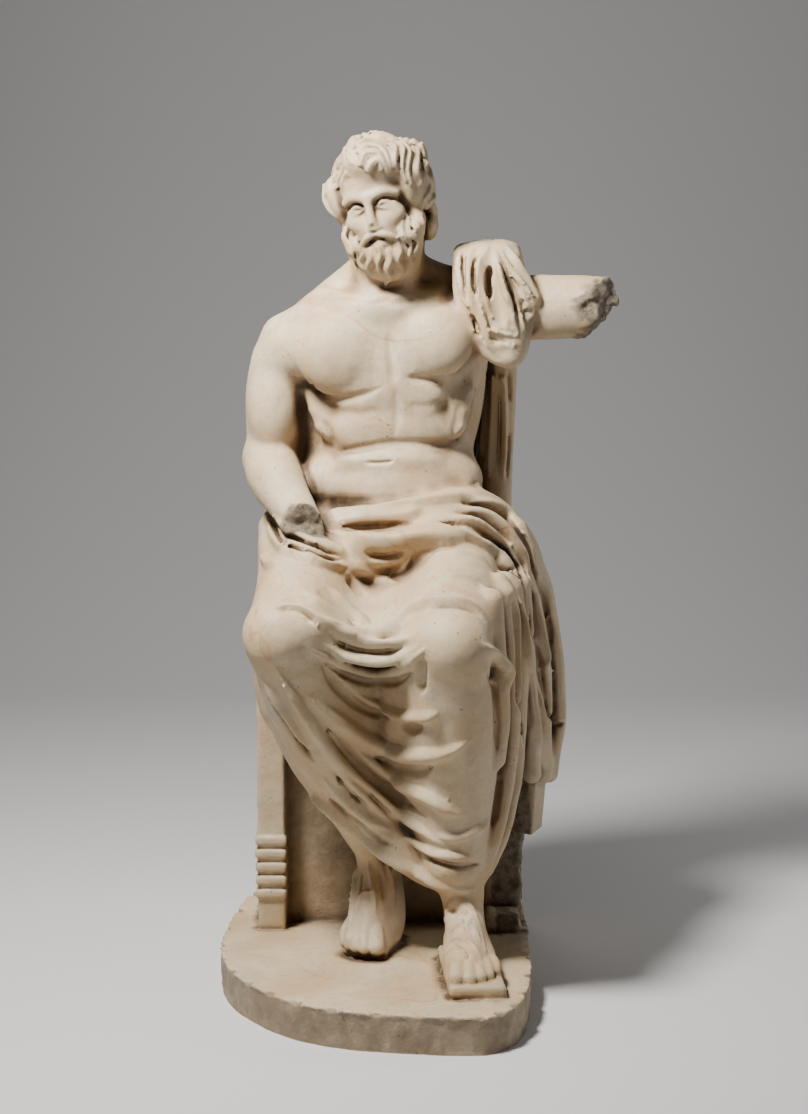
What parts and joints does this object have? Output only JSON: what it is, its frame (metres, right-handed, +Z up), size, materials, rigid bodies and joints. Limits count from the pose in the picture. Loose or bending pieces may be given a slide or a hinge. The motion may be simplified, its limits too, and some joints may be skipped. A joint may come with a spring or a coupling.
{
  "type": "statue",
  "caption": "Seated bearded classical figure with a mantle over the lap and left shoulder, carved in one block with its throne and rounded plinth; both forearms and the nose broken.",
  "frame": {"origin": "a point on the flat underside of the plinth, under the figure's lap; underside at Z = 0", "axes": "+Z up, the figure faces -Y, +X to the figure's left"},
  "size_m": [0.9733, 1.0983, 2.0777],
  "materials": {
    "weathered_marble": "weathered"
  },
  "bodies": {
    "root": {"zeus_statue": "weathered_marble"}
  },
  "joints": []
}
